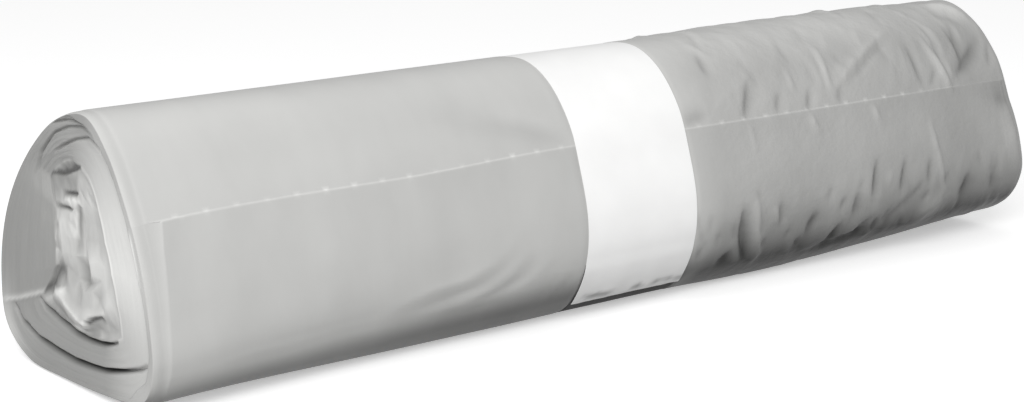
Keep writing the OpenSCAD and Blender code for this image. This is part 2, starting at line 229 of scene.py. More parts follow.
# Folds of the skin: points [x, place round the roll], half width, height, lean of the flanks. A
# minus is a crease pressed in.
folds = [
    ([(51.6, 6.77), (48, 7.2), (45.4, 7.55)], 2, -1.3, 0.3),
    ([(62.5, 7.1), (59.6, 7.54)], 1.6, -0.8, 0.3),
    ([(76.5, 7.17), (73.5, 7.62)], 1.6, -0.8, 0.3),
    ([(91.3, 7.2), (88.7, 7.56)], 2, -0.6, 0),
    ([(87.6, 6.27), (85.9, 7.2)], 1.5, 0.6, -0.2),
    ([(87.7, 7.22), (100.7, 6.68), (115.4, 6.27), (130, 5.83)], 1.6, 0.9, -0.4),
    ([(96.5, 7.14), (110, 6.65), (125.3, 6.23)], 1.4, -0.6, 0.3),
    ([(143.8, 6.11), (142.7, 6.94), (145, 7.67)], 1.4, 1.0, -0.3),
    ([(159.8, 6.06), (157, 6.6), (155.5, 7.03)], 1.9, -1.1, 0.3),
    ([(131.2, 6.47), (130.9, 7.5)], 1.6, -0.5, 0.2),
    ([(171, 6.5), (161.4, 6.94), (149.4, 7.39)], 3.1, -1.0, 0.1),
    ([(160.3, 5.21), (166.5, 5.5), (171.8, 5.9)], 1.6, 1.0, -0.3),
    ([(39, 5.76), (36.2, 6.47)], 1.9, -0.5, 0.2),
    ([(73.4, 7.67), (76.3, 8.16)], 1, 0.4, 0),
    ([(103.9, 7.77), (105.8, 8.17)], 1, 0.4, 0),
    ([(129.3, 8.42), (131.5, 9.3), (132.4, 10.01)], 1.1, 0.6, -0.2),
    ([(39.4, 9.45), (40.7, 10.07), (44.5, 10.69)], 2, -1.8, 0.3),
    ([(45, 9.3), (46.2, 10.0), (50.5, 10.6)], 1.6, 1.0, -0.3),
    ([(55.9, 9.46), (56.5, 9.99)], 1.6, -1.0, 0.2),
    ([(73, 9.89), (71.7, 10.24)], 1.4, -0.8, 0.2),
    ([(86, 10.27), (80.9, 10.85)], 1.6, -1.1, 0.2),
    ([(100, 10.52), (86.9, 10.76), (72.5, 10.91)], 1.5, -1.0, 0.2),
    ([(102.9, 10.3), (102.2, 10.75)], 1.4, -0.8, 0.2),
    ([(90.8, 9.57), (90.3, 10.14)], 1.5, -0.9, 0.2),
    ([(100.5, 8.92), (98.1, 9.73)], 1.7, -1.5, 0.3),
    ([(114.4, 9.05), (111.4, 9.76)], 1.7, -1.3, 0.3),
    ([(126.9, 9.13), (125.1, 9.71)], 1.5, -0.9, 0.2),
    ([(145.7, 9.69), (143.3, 10.3)], 1.9, -1.2, 0.2),
    ([(37.9, 10.41), (33.3, 10.75)], 1.6, -0.9, 0.2),
    ([(24.7, 10.17), (23.4, 10.49)], 1.2, -0.6, 0.2),
    ([(120.3, 10.66), (126.3, 10.41), (133.2, 10.18)], 4.5, 1.5, -0.2),
    ([(-100.8, 10.26), (-91.4, 9.92), (-81, 9.8), (-72, 9.78), (-65, 9.46), (-59.4, 9.16)],
     7, 0.45, -0.2),
    ([(-73, 6.45), (-51.4, 7), (-26.9, 7.47)], 6, -0.55, 0.2),
    ([(-64, 10.45), (-49.8, 10.29), (-41.7, 9.93)], 2, 0.15, 0),
    ([(-78.1, 10.56), (-61.2, 10.26), (-48, 9.67)], 2, 0.15, 0),
    ([(35.9, 9.73), (36.9, 10.15)], 1.3, -0.5, 0.2),
    ([(52.9, 9.48), (55.1, 9.93)], 1.6, 0.5, 0),
    ([(45, 9.05), (47.8, 9.33)], 1.3, -0.35, 0),
    ([(71.5, 9.84), (70.7, 10.16), (70.8, 10.43)], 1.8, -0.8, 0.2),
    ([(122.3, 9.64), (118.6, 9.89), (116.3, 10.03)], 1.4, -0.6, 0.2),
    ([(101.2, 10.21), (96.1, 10.48), (92.2, 10.76)], 1.2, -0.6, 0.2),
    ([(105.7, 10.36), (102.7, 10.67), (99.1, 10.9)], 1.2, 0.6, -0.2),
    ([(108.5, 10.09), (106.5, 10.34), (103.4, 10.49)], 1.2, -0.5, 0.2),
    ([(25.6, 9.43), (26.3, 9.94)], 1.5, -0.4, 0),
    ([(22, 10.06), (23.4, 10.49)], 1.4, -0.5, 0),
    ([(48.8, 10.92), (50.6, 10.56)], 1.3, 0.6, 0),
    ([(158.2, 9.83), (158.5, 10.28)], 1.6, -0.7, 0.2),
    ([(151.6, 9.17), (152.5, 9.52)], 1.6, -0.4, 0),
    ([(85.4, 6.25), (85.1, 6.66), (84, 7.19)], 1, -0.5, 0.1),
    ([(131.2, 6.47), (131, 6.99), (130.7, 7.45)], 1.2, -0.45, 0.1),
    ([(140.2, 6.27), (140.5, 6.68), (142.1, 7.21), (143.9, 7.66)], 1, 0.7, -0.2),
    ([(142.5, 6.33), (143.6, 6.86), (145.2, 7.32)], 1.2, -0.7, 0.2),
    ([(155.9, 6.09), (156.1, 6.5), (156.8, 6.98)], 1.2, -0.7, 0.2),
    ([(162, 6.07), (160.3, 6.51)], 1.1, 0.5, 0),
    ([(166, 6.67), (158.5, 7.02), (150.5, 7.37)], 1.3, -0.7, 0.2),
    ([(174.2, 6.57), (168.3, 7.28)], 1.2, -0.6, 0.2),
    ([(140.8, 7.12), (135, 7.53)], 1.2, -0.6, 0.2),
    ([(147.4, 6.97), (146.5, 7.48)], 1.2, 0.5, 0),
    ([(38.4, 5.93), (36.4, 6.44)], 1.6, -0.35, 0),
    ([(69.7, 6.64), (69.3, 7.13)], 1, 0.45, -0.1),
    ([(55.6, 6.56), (54.4, 6.96)], 1.2, -0.3, 0),
    ([(96.8, 6.64), (89.6, 7)], 1.2, 0.4, 0),
    ([(121.3, 6.79), (119.6, 7.23)], 1.4, -0.3, 0),
    ([(46.4, 7.65), (46.5, 7.97), (46.4, 8.26)], 0.8, 0.25, 0),
    ([(73.8, 7.74), (74.5, 8.15)], 0.8, 0.3, 0),
    ([(103.8, 7.77), (104.2, 8.18)], 0.8, 0.3, 0),
    ([(130.1, 8.28), (129.8, 8.96)], 0.8, 0.25, 0),
    ([(78.6, 9.3), (77.3, 9.62)], 1.3, -0.4, 0),
    ([(85, 9.61), (83.6, 9.9)], 1.3, -0.5, 0.2),
    ([(93.4, 9.27), (91.7, 9.55)], 1.4, -0.4, 0),
    ([(107, 9.22), (105.1, 9.54)], 1.4, 0.4, 0),
    ([(135.7, 9.52), (132, 9.88)], 1.4, -0.5, 0.1),
    ([(51.3, 10.22), (50.7, 10.46)], 1.2, -0.5, 0.1),
    ([(61.6, 10.09), (60.4, 10.36)], 1.2, -0.5, 0.1),
    ([(67.7, 10.39), (66.6, 10.63)], 1.3, -0.6, 0.1),
    ([(30, 9.88), (30, 10.23)], 1.3, -0.4, 0.1),
    ([(114.7, 10.02), (110.8, 10.27), (107.8, 10.46)], 1.3, -0.6, 0.1),
    ([(125.8, 9.92), (122.4, 10.19)], 1.4, -0.5, 0.1),
    ([(-96.7, 10.04), (-85.1, 9.84), (-70.7, 9.73), (-61.6, 9.5), (-55.3, 9.16)], 2.4, 0.3, -0.3),
    ([(-93.9, 10.28), (-81.8, 10.09), (-67.8, 10), (-58.2, 9.72), (-52.2, 9.35)], 2, -0.16, 0.2),
    ([(-90.2, 10.46), (-77.7, 10.34), (-63.6, 10.19), (-51.6, 9.8)], 1.6, 0.16, 0),
    ([(-58.5, 10.22), (-50.8, 10.07), (-43.8, 9.72)], 1.5, -0.2, 0.2),
    ([(-51.8, 10.49), (-44.7, 10.31), (-39, 9.92)], 1.4, 0.2, 0),
    ([(-44, 10.63), (-38.6, 10.36), (-35.4, 10.06)], 1.3, -0.24, 0.2),
    ([(-37, 10.63), (-31.9, 10.31)], 1.3, -0.25, 0.2),
    ([(-68.2, 10.38), (-57.9, 10.18)], 1.3, -0.2, 0),
    ([(-78.2, 10.55), (-71, 10.41)], 1.3, -0.2, 0),
    ([(-54.6, 6.75), (-40.2, 7.07), (-26.9, 7.46)], 3, -0.6, 0.2),
    ([(-48.3, 6.61), (-35.4, 6.92), (-26.9, 7.2)], 3, 0.25, 0),
    ([(-166.1, 7.71), (-166.6, 8.16), (-168.1, 8.79)], 2, -0.12, 0),
    ([(-74.2, 10.29), (-62.2, 10.08), (-52, 9.61), (-48.1, 9.31)], 1.5, 0.22, -0.2),
    ([(-64.8, 10.31), (-54.5, 10.09), (-46.3, 9.59)], 1.4, -0.28, 0.2),
    ([(-58.7, 10.4), (-48.7, 10.12), (-41.2, 9.66)], 1.4, 0.22, -0.2),
    ([(-87, 10.27), (-75.2, 10.09), (-64.6, 9.93)], 1.5, -0.22, 0.2),
    ([(-47, 10.46), (-41, 10.13), (-37.8, 9.79)], 1.4, -0.25, 0.2),
    ([(-72.7, 10.56), (-60.4, 10.44), (-51.9, 10.26)], 1.4, -0.25, 0.2),
    ([(-33.1, 10.5), (-29.6, 10.13)], 1.5, -0.3, 0.2),
    ([(159.8, 5.27), (165.9, 5.53), (171.6, 5.92)], 2.4, 0.9, 0),
    ([(156.6, 5.61), (163.5, 5.81), (167.1, 6.11)], 2.2, -0.5, 0),
    ([(20.6, 7.45), (25.1, 7.4), (30.3, 7.37)], 2.6, -1, 0.2),
    ([(17.8, 9.23), (20.7, 9.61), (24.4, 10.02)], 1.5, -0.5, 0.1),
    ([(21.3, 9.86), (26.7, 10.29)], 1.6, -0.6, 0.1),
    ([(166, 8.1), (172, 8.15), (178, 8.2)], 5, -1, 0.3),
    ([(166, 9), (172, 9), (178, 9.05)], 9, 0.9, 0),
]

# Small creases of the crumpled half, strewn over it but kept off the free edge.
rng = random.Random(12)
small_creases = []
for k in range(190):
    x0, v0 = rng.uniform(24, 168), rng.uniform(0.5, 14.8)
    length, slope = rng.uniform(0.25, 1.0), rng.uniform(-0.9, 0.5)
    x1 = x0 + slope * length * 8
    v1 = v0 + length
    if v1 < 7.3 or v0 > 9.1:
        shown = 0.5 if 5 < (v0 + v1) / 2 < 11.2 else 1.0
        bend_x = (x0 + x1) / 2 + rng.uniform(-1, 1)
        width = rng.uniform(0.9, 2.2)
        height = rng.choice((-1, -1, 1)) * rng.uniform(0.3, 0.9) * shown
        lean = rng.uniform(-0.3, 0.3)
        small_creases.append(([(x0, v0), (bend_x, (v0 + v1) / 2), (x1, v1)], width, height, lean))


def unrolled(lines):
    """The same lines with their places round the roll in millimetres."""
    return [([(x, v * span_len) for x, v in points], *shape) for points, *shape in lines]


fold_lines = unrolled(folds)
crease_lines = unrolled(small_creases)


def line_relief(x, y, lines, power=1.4, taper=0.35):
    """Height of the folds at points x, y: sharp crests that fade out towards their ends."""
    height = np.zeros_like(x)
    for points, width, amount, lean in lines:
        p = np.array(points, float)
        run = np.concatenate([[0], np.cumsum(np.linalg.norm(np.diff(p, axis=0), axis=1))])
        best = np.full(x.shape, 1e9)
        value = np.zeros_like(x)
        for k in range(len(p) - 1):
            d = p[k + 1] - p[k]
            size = np.linalg.norm(d)
            t = np.clip(((x - p[k][0]) * d[0] + (y - p[k][1]) * d[1]) / size ** 2, 0, 1)
            ex, ey = x - p[k][0] - t * d[0], y - p[k][1] - t * d[1]
            away = np.hypot(ex, ey)
            side = np.sign(ex * d[1] - ey * d[0])
            along = (run[k] + t * size) / run[-1]
            fade = np.clip(np.minimum(along, 1 - along) / taper, 0, 1) ** 0.7 * 0.75 + 0.25
            here = amount * fade * np.exp(-(away / (width * (1 + lean * side))) ** power)
            value = np.where(away < best, here, value)
            best = np.minimum(best, away)
        height += value
    return height


def crinkle(x, place):
    """Fine unevenness of the film: long soft waves, and small creases beyond the band."""
    loose = float(smooth((x - band_hi - 2) / 20))
    out = np.empty(len(place))
    for k, v in enumerate(place):
        a = 2 * math.pi * v / spans
        c, d = math.cos(a), math.sin(a)
        soft = noise.noise(Vector((x / 38, 1.4 * c, 1.4 * d + 1.7)))
        crease_x = x / 13 + 1.3 * math.sin(2 * a)
        creased = 1 - abs(noise.noise(Vector((crease_x, 1.4 * c, 1.4 * d + 5.1)))) * 2
        fine = noise.noise(Vector((x / 4.5, 4.5 * c, 4.5 * d + 9.3)))
        loud = 1 - 0.85 * math.exp(-((v - 8.3) / 1.0) ** 4)
        low_front = float(smooth((v - 9.7) / 0.8) * smooth((11.2 - v) / 0.6))
        drawn = 0.14 * noise.noise(Vector((x / 22, v * 6, 4.4))) * low_front
        small = 0.25 * max(creased, 0) ** 3 + 0.1 * fine
        out[k] = (1 - loose) * drawn + (0.12 + 0.3 * loose) * soft + loose * loud * small
    return out


# Columns of points round the roll, counted in spans from the free edge: closest at the edge
# itself, and widest apart under the roll.
per_span = 16
columns = np.concatenate([
    [0, 0.012], np.arange(1, 4 * per_span) / per_span, np.linspace(4, 7.2, 21),
    np.arange(116, spans * per_span) / per_span, [spans - 0.03, spans - 0.012, spans]])


def place_at(x):
    """Places of the columns round the roll at x, from the free edge on."""
    lower = bow * math.exp(-((x - bow_x) / (57 if x < bow_x else 35.5)) ** 2)
    return lap_at + lap_lean * x / half_len + lower + columns


def skin_row(x):
    """One ring of the skin: its points, their texture coordinates, and how high the folds stand."""
    place = place_at(x)
    wrapped = np.where(place > spans, place - spans, place)
    flap = float(x > lap_x + 0.1 and x < half_len - edge_ramp - 0.2) * (1 - columns / spans)
    flap *= 0.3 + 0.7 * float(smooth((abs(x - band_middle) - 22) / 25))
    flap[-1] = flap[0]
    over_strip = 0.15 * float(smooth((x + half_len - 3.6) / 0.5))
    end_round = 0.5 * max(0, 1 - (half_len - abs(x)) / edge_ramp) ** 2
    squeeze = under_band(x)
    xs = np.full_like(wrapped, x)
    strength = 1 + 0.2 * float(smooth((x - band_hi) / 10))
    on_floor = 1 - 0.75 * smooth((place - 10.6) / 0.5) * smooth((15.6 - place) / 0.8)
    lifted = strength * line_relief(xs, wrapped * span_len, fold_lines) + crinkle(x, wrapped)
    if x > band_hi:
        lifted += line_relief(xs, wrapped * span_len, crease_lines)
    lifted *= on_floor
    calm = float(smooth((x + half_len) / 6) * (0.4 + 0.6 * smooth((half_len - x) / 5)))
    swell = float(smooth((x - band_hi) / 50) * smooth((half_len - x) / 60))
    raised = (lap_t * flap + lifted * calm + over_strip) * (1 - squeeze)
    relief = swell + raised - pressed_in * squeeze - end_round
    p = section(x, place) + outward(x, place) * relief[:, None]
    p[:, 1] = np.maximum(p[:, 1], floor_gap + paper_t * squeeze)
    # The side edge of the last bag's film slants: near the free edge it lies further from the end.
    reach = np.interp(x, [lap_x - 0.6, lap_x, lap_x + 0.35, lap_x + 16], [0, 1, 1, 0])
    shift = reach * np.interp(columns, [0, 0.5, 1, 1.5, 2, 3, 5], [3.7, 2.3, 1.5, 0.8, 0.4, 0.2, 0])
    shift[-1] = shift[0]
    uv = np.column_stack([xs, (columns - half_round) * span_len])
    return np.column_stack([x + shift, p]), uv, lifted * calm


# Rim of the crumpled middle at the end that shows its turns: [y, z, depth] behind the roll's end.
core_rim = [
    (3, 65, 3), (-4, 64.5, 2.2), (-12, 60, 1.2), (-16, 53, 1), (-18.5, 45.5, 1), (-21.5, 37, 1),
    (-23.5, 29, 1.2), (-24, 19.8, 2), (-15, 16.5, 3.5), (-6, 15, 4.5), (1.5, 14.4, 4.5),
    (9, 14.7, 4.5), (18, 16.3, 4.5), (24.5, 17.5, 3.6), (26.3, 21, 3.4), (22.8, 25.5, 3.8),
    (18.8, 31, 4.2), (18.8, 37, 4.5), (18.8, 43, 4.5), (18.3, 49, 4.5), (19.5, 53, 4.5),
    (19.5, 57.5, 4.5), (12.5, 62, 4),
]
# Dark gaps between some of the turns, and a crimp low at the back: points [y, z], half width,
# depth, lean. A minus stands proud. The two lower gaps are shallow towards the front, so each has a
# shorter line on top of its long one.
outer_gap = [(39.5, 15), (36, 11.5), (27, 8), (15.5, 7), (5, 6.5), (-4, 7), (-13.5, 8)]
inner_gap = [(27.5, 19.5), (24.5, 17), (17.5, 15), (8, 13.4), (0, 13.2), (-7, 13.7)]
near_gaps = [
    (outer_gap + [(-25, 10.5), (-34, 13), (-38.5, 15)], 0.5, 3.2, 0),
    (outer_gap + [(-22, 9.7)], 0.5, 3.4, 0),
    (inner_gap + [(-14, 15.2), (-20, 17.2)], 0.45, 2.6, 0),
    (inner_gap + [(-11, 14.6)], 0.45, 3, 0),
    ([(16, 72), (9.5, 74.5), (0.5, 76.5), (-6.5, 77), (-11, 76.5), (-16, 74.5)], 0.3, 0.9, 0),
    ([(24, 57), (18, 64.5), (13.5, 68), (7.5, 72), (0.5, 74.5), (-6.5, 75.5), (-11.5, 75),
      (-16.5, 73.5)], 0.32, 1.0, 0),
    ([(11, 66), (5.5, 68.5), (-3, 71.5), (-10.5, 73), (-14, 72), (-18.5, 70)], 0.36, 1.2, 0),
    ([(-35, 51.5), (-36.5, 47), (-38, 42), (-39, 36)], 0.7, -0.6, 0),
    ([(47, 15.5), (37, 18), (22, 23)], 0.7, -0.45, 0.3),
]
# Inner side of the last turn's edge on the front, [y, z]. The turns inside it lie deeper.
front_ply = [(-14, 74.5), (-20, 71.5), (-23.5, 68), (-26.8, 64), (-29.8, 59.3), (-32.5, 54),
             (-34.6, 49), (-37, 43.5), (-38.8, 38), (-40.6, 32), (-41.8, 25), (-42.2, 19), (-40, 12),
             (-34, 8)]
# Crumpled film in the middle: [y, z, depth, tone] of the corners of its creases. The tone holds
# painted light and shade: near black in its slits and recesses, near white on its lit facets.
crumple = [
    (10.6, 62.6, 4, 0.55), (4.2, 64.1, 3.6, 0.5), (-0.6, 64.2, 3, 0.38), (8.7, 62, 4.4, 0.38),
    (3.5, 62.8, 4.1, 0.28), (-0.8, 63.4, 3.5, 0.26), (6.1, 61.5, 4.4, 0.32), (17.2, 59.7, 4.6, 0.56),
    (13.5, 60.9, 4.4, 0.56), (15.1, 59.5, 4.5, 0.46), (11.1, 60.3, 4.5, 0.42), (20, 57.2, 4.7, 0.36),
    (18, 58.3, 5, 0.2), (14.9, 58.8, 5, 0.14), (11.8, 59.2, 4.9, 0.1), (8.3, 60, 4.8, 0.05),
    (4.2, 61.3, 4.5, 0.03), (0.3, 62.5, 3.9, 0.03), (-3.8, 63.8, 2.9, 0.15), (17.2, 57.6, 4.5, 0.43),
    (14.5, 58, 4.4, 0.43), (10.9, 58.5, 4.2, 0.43), (7.3, 59.3, 4, 0.44), (3.3, 60.6, 3.7, 0.52),
    (-0.8, 61.9, 3.1, 0.57), (-5, 63.1, 2.4, 0.58), (19.4, 55.3, 4.8, 0.47), (14.4, 56.4, 4.6, 0.47),
    (9.6, 57.6, 4.4, 0.47), (4.4, 58.8, 4, 0.47), (1.8, 59, 3.8, 0.48), (18.1, 53.4, 5, 0.47),
    (13.2, 54.6, 4.8, 0.49), (7.7, 55.9, 4.6, 0.47), (3.4, 56.6, 4.3, 0.47), (-0.7, 59.2, 3.3, 0.69),
    (-5, 60.6, 2.7, 0.69), (-0.1, 57.4, 3.5, 0.69), (-6.4, 58.9, 2.5, 0.69), (-0, 55.6, 3.6, 0.67),
    (-3.5, 56, 3.2, 0.67), (-9.2, 57.5, 2.2, 0.69), (10.4, 54, 4.8, 0.3), (7.9, 54.2, 5.3, 0.1),
    (5, 54.6, 5.2, 0.03), (2.9, 54.9, 5, 0.03), (10.3, 54.7, 4.6, 0.47), (7, 55, 4.5, 0.46),
    (3.3, 55.5, 4.2, 0.46), (0.9, 55.8, 3.8, 0.66), (0.9, 54.7, 3.8, 0.62), (11.3, 52.8, 4.4, 0.52),
    (6.8, 53.5, 4.3, 0.5), (3, 54, 4.1, 0.5), (11, 51.5, 4, 0.8), (7.7, 52.4, 3.8, 0.92),
    (4.2, 53.1, 3.6, 0.92), (2.1, 52.7, 3.7, 0.9), (6.2, 51.6, 3.9, 0.88), (16.6, 49, 5, 0.42),
    (14.2, 49.3, 5.3, 0.2), (11.3, 49.5, 5.2, 0.12), (8.4, 49.7, 5, 0.1), (6.4, 49.7, 4.5, 0.25),
    (16.7, 49.6, 4.7, 0.62), (11.4, 50.3, 4.3, 0.78), (7.1, 50.7, 4, 0.82), (4.2, 50.5, 3.9, 0.8),
    (16.8, 48.1, 4.7, 0.66), (13.1, 48.5, 4.4, 0.7), (9.5, 48.8, 4.2, 0.74), (6.1, 48.9, 4, 0.76),
    (16.9, 45.5, 4.6, 0.75), (14, 44.1, 4, 0.85), (18.3, 40.8, 5, 0.6), (13.9, 39.5, 4, 0.85),
    (19.3, 35.9, 5.2, 0.6), (14.4, 35.2, 4.3, 0.76), (9.8, 46.7, 3.9, 0.76), (4.4, 47.4, 3.7, 0.79),
    (10.4, 41.3, 3.9, 0.79), (5, 41.8, 3.7, 0.76), (10.7, 36.6, 4.1, 0.76), (6.2, 36.3, 4.3, 0.7),
    (1.6, 51.4, 4.5, 0.4), (1.9, 49.5, 4.7, 0.32), (2.6, 45.6, 4.8, 0.36), (3, 41.5, 4.8, 0.5),
    (-1.8, 54.6, 4, 0.86), (-8, 54.9, 3, 0.9), (-0.5, 51.3, 4.5, 0.76), (-8.4, 52.1, 3.2, 0.8),
    (0.4, 46.8, 5, 0.68), (-9, 48.2, 3.6, 0.72), (0.3, 42, 5, 0.68), (-11.1, 43.6, 3.2, 0.7),
    (0.2, 37.4, 5, 0.72), (-12.3, 40.2, 3, 0.74), (-4.4, 36.3, 3.5, 0.9), (-10.1, 38.1, 3.1, 0.86),
    (-15.5, 37.6, 2.4, 0.84), (-4.6, 32.8, 3.8, 0.83), (-13.2, 33.6, 2.8, 0.8), (12.4, 32, 5, 0.56),
    (15.7, 28.5, 5.8, 0.45), (21.9, 25.1, 5.4, 0.26), (26.6, 22.1, 4.4, 0.3), (17.8, 30.2, 5.6, 0.24),
    (8.8, 31, 5, 0.62), (5.9, 29.2, 5.3, 0.6), (1.2, 33.7, 6, 0.42), (1.5, 29, 6.4, 0.4),
    (20.1, 22.9, 4.2, 0.92), (15.7, 24.4, 4, 0.94), (13.3, 24.6, 4.4, 0.7), (10.6, 23.1, 4.2, 0.65),
    (0.2, 26.7, 3.5, 0.68), (-6, 28.6, 3.2, 0.7), (15.6, 21.8, 3.8, 0.9), (13.4, 20.8, 3.6, 0.9),
    (9.4, 19.4, 3.4, 0.9), (5.5, 18, 3.2, 0.94), (1.2, 16.7, 2.8, 0.97), (4.6, 21.2, 4.2, 0.62),
    (-1.8, 23.3, 3.5, 0.74), (-6.1, 22.6, 3.4, 0.7), (-9.7, 22.5, 3.4, 0.7), (0.4, 17, 3.7, 0.25),
    (-0.3, 18.1, 4.1, 0.08), (-2.4, 19.5, 4.3, 0.03), (-5.5, 20.8, 4.3, 0.03), (-10, 22.2, 3.9, 0.15),
    (-5, 30.5, 4.4, 0.6), (-8, 26.6, 4.2, 0.55), (-15.2, 30.7, 2.8, 0.82), (-17.4, 28.1, 2.4, 0.86),
    (-14.1, 25.6, 2.8, 0.82), (-12.2, 23.8, 3.4, 0.7), (-20.2, 26.4, 2.4, 0.76),
    (-11.3, 20.1, 4.6, 0.56), (-18.9, 20.9, 3.4, 0.54), (-5.2, 16.4, 6, 0.5), (-12.5, 16.5, 5, 0.5),
    (0.4, 14.5, 6.2, 0.42), (25, 19.8, 5.5, 0.5), (22.5, 16.9, 6, 0.38), (16.4, 14.7, 6, 0.42),
    (10.4, 12.8, 6, 0.38), (3, 12.4, 6, 0.4), (-4.9, 13.4, 6, 0.36), (1.3, 17.4, 2.9, 0.92),
    (-0.7, 19.1, 2.9, 0.86), (-2.8, 20.5, 3, 0.82), (-6.2, 21.8, 3, 0.76), (-10.5, 23, 3, 0.72),
    (0.9, 15.9, 4.2, 0.46), (-1.4, 17.7, 4.2, 0.46), (-4.9, 19.5, 4.2, 0.46), (-9, 20.8, 4, 0.5),
    (13.2, 22.2, 3.9, 0.7), (10.7, 20.8, 3.8, 0.7), (6.7, 19.4, 3.6, 0.72), (3.4, 18.3, 3.4, 0.74),
    (18.9, 20.3, 4.4, 0.52), (16.9, 18.6, 4.6, 0.48), (13.3, 17, 4.6, 0.48), (9.3, 15.7, 4.4, 0.48),
    (20.2, 24.3, 5, 0.45), (16.7, 25.3, 4.7, 0.54), (13.2, 26, 4.6, 0.6), (3.2, 49, 4.1, 0.77),
    (3.6, 46.9, 4.2, 0.77), (3.9, 44.3, 4.2, 0.76),
]
# Creases and edges in the crumple: first and last corner of each run that is joined up.
crumple_runs = [
    (11, 18), (19, 25), (42, 45), (46, 49), (51, 53), (59, 63), (64, 67), (68, 71), (127, 131),
    (150, 154), (155, 158), (159, 162), (163, 166), (118, 122), (84, 87),
]


def near_core_net(value, at_rim):
    """The creased film as flat facets. Their height is one of a corner's values: 2 depth, 3 tone."""
    corners = [Vector(q[:2]) for q in crumple + core_rim]
    joined = [(k, k + 1) for first, last in crumple_runs for k in range(first, last)]
    flat, _, faces, origin, _, _ = delaunay_2d_cdt(corners, joined, [], 0, 0.001)
    level = [q[value] for q in crumple] + at_rim
    raised = [Vector((level[origin[i][0]], q.x, q.y)) for i, q in enumerate(flat)]
    return BVHTree.FromPolygons(raised, faces)


def height_at(net, y, z, outside):
    """The value that the net carries at y, z."""
    hit = net.ray_cast(Vector((-20, y, z)), Vector((1, 0, 0)))[0]
    return hit.x if hit else outside


middle = np.array([2.0, 38.0])


def directions(yz):
    """Angles in which points lie, seen from the middle."""
    return np.arctan2(yz[:, 1] - middle[1], yz[:, 0] - middle[0])


def radius_towards(points, angles):
    """Distance from the middle to a closed outline, seen in each direction."""
    p = np.array(points, float)[:, :2] - middle
    a = np.arctan2(p[:, 1], p[:, 0])
    order = np.argsort(a)
    a, r = a[order], np.linalg.norm(p, axis=1)[order]
    a = np.concatenate([a[-3:] - 2 * np.pi, a, a[:3] + 2 * np.pi])
    r = np.concatenate([r[-3:], r, r[:3]])
    return np.interp(angles, a, r)


rim_near = skin_row(-half_len)[0][:, 1:]
angles = directions(rim_near)
core_radius = radius_towards(core_rim, angles)
core_near = middle + core_radius[:, None] * np.column_stack([np.cos(angles), np.sin(angles)])
core_points = np.array(core_rim, float)
order = np.argsort(directions(core_points))
rim_depths = np.interp(angles, directions(core_points)[order], core_points[order, 2], period=2 * np.pi)
rim_radius = np.linalg.norm(rim_near - middle, axis=1)
ply_at = (rim_radius - radius_towards(front_ply, angles)) / (
    rim_radius - np.linalg.norm(core_near - middle, axis=1))
depths = near_core_net(2, [q[2] + 0.8 for q in core_rim])
# Painted shade: the crumple's rim is greyer at the back than at the front.
shades = near_core_net(3, [0.42 if q[0] > 14 else 0.62 for q in core_rim])


def near_depth(share, slits):
    """How deep the film ends lie behind the rim, at a share of the way in to the crumpled middle."""
    front = smooth((0.25 - np.cos(angles)) / 0.6) * smooth((np.sin(angles) + 0.85) / 0.3)
    dish = rim_depths * share ** 1.3
    dish += front * 1.7 * smooth((share - ply_at) / 0.035 + 0.6) * (1 - 0.8 * share)
    circle = zip(np.cos(angles) * 3, np.sin(angles) * 3)
    wander = np.array([noise.noise(Vector((a, b, share * 9))) for a, b in circle])
    plies = 0.05 * np.sin(share * 150 + 5 * wander) + 0.05 * np.sin(share * 67 + 7 * wander + 2 * angles)
    plies *= 0.2 + 0.8 * np.sin(angles) ** 2
    plies *= 1 - 0.8 * front
    plies *= np.clip(share * 12, 0, 1)
    return dish + slits + plies + (0.25 - 0.19 * front) * wander * np.clip(share * 5, 0, 1)


# Painted light and shade on the stacked film edges of the ends, by how the light falls on each side:
# whitish at the front, greyer at the back, on top and below.
shading_angles = np.radians([-90, -45, 0, 60, 90, 120, 150, 180, 215, 240, 270])
shading_levels = [0.235, 0.24, 0.245, 0.29, 0.31, 0.53, 0.7, 0.76, 0.5, 0.26, 0.235]


def end_shading(angle, share):
    full = 2 * np.pi
    return np.interp(angle % full, shading_angles % full, shading_levels, period=full) + 0.02 * share


def turns_uv(share):
    """Texture coordinates of a row of film edges: in through the turns, and round the roll."""
    return np.column_stack([np.full(len(columns), 200 + 30 * share), (columns - half_round) * span_len])


def middle_uv(yz):
    """Texture coordinates of the crumpled film, clear of those of the skin and the turns."""
    return np.column_stack([yz[:, 0], yz[:, 1] + 400])


# The whole surface is one grid of rows, from the middle of the near end out over its turns, along
# the skin, and in to the middle of the far end.
on_skin, on_end = 0, 1
rows, uvs, tones, kinds = [], [], [], []


def add_row(points, uv, tone, kind):
    rows.append(points)
    uvs.append(uv)
    tones.append(tone)
    kinds.append(kind)


for share in np.linspace(0, 1, 52)[:-1]:
    yz = middle + (core_near - middle) * share
    depth = np.array([height_at(depths, y, z, 4.5) for y, z in yz])
    shade = np.array([height_at(shades, y, z, 0.6) for y, z in yz])
    sharp = np.array([abs(noise.noise(Vector((y / 4.5, z / 11, 2.2)))) for y, z in yz])
    sharp *= 0.15 + 0.85 * np.clip((yz[:, 0] + 6) / 8, 0, 1)
    depth += 0.4 * sharp - 0.1
    shade = shade + 0.14 * (0.1 - sharp)
    inside = np.clip((1 - share) * 14, 0, 1)
    depth = depth * inside + rim_depths * (1 - inside)
    add_row(np.column_stack([-half_len + depth, yz]), middle_uv(yz),
            np.clip(0.47 + (shade - 0.6) * 1.1, 0.02, 0.9), on_end)

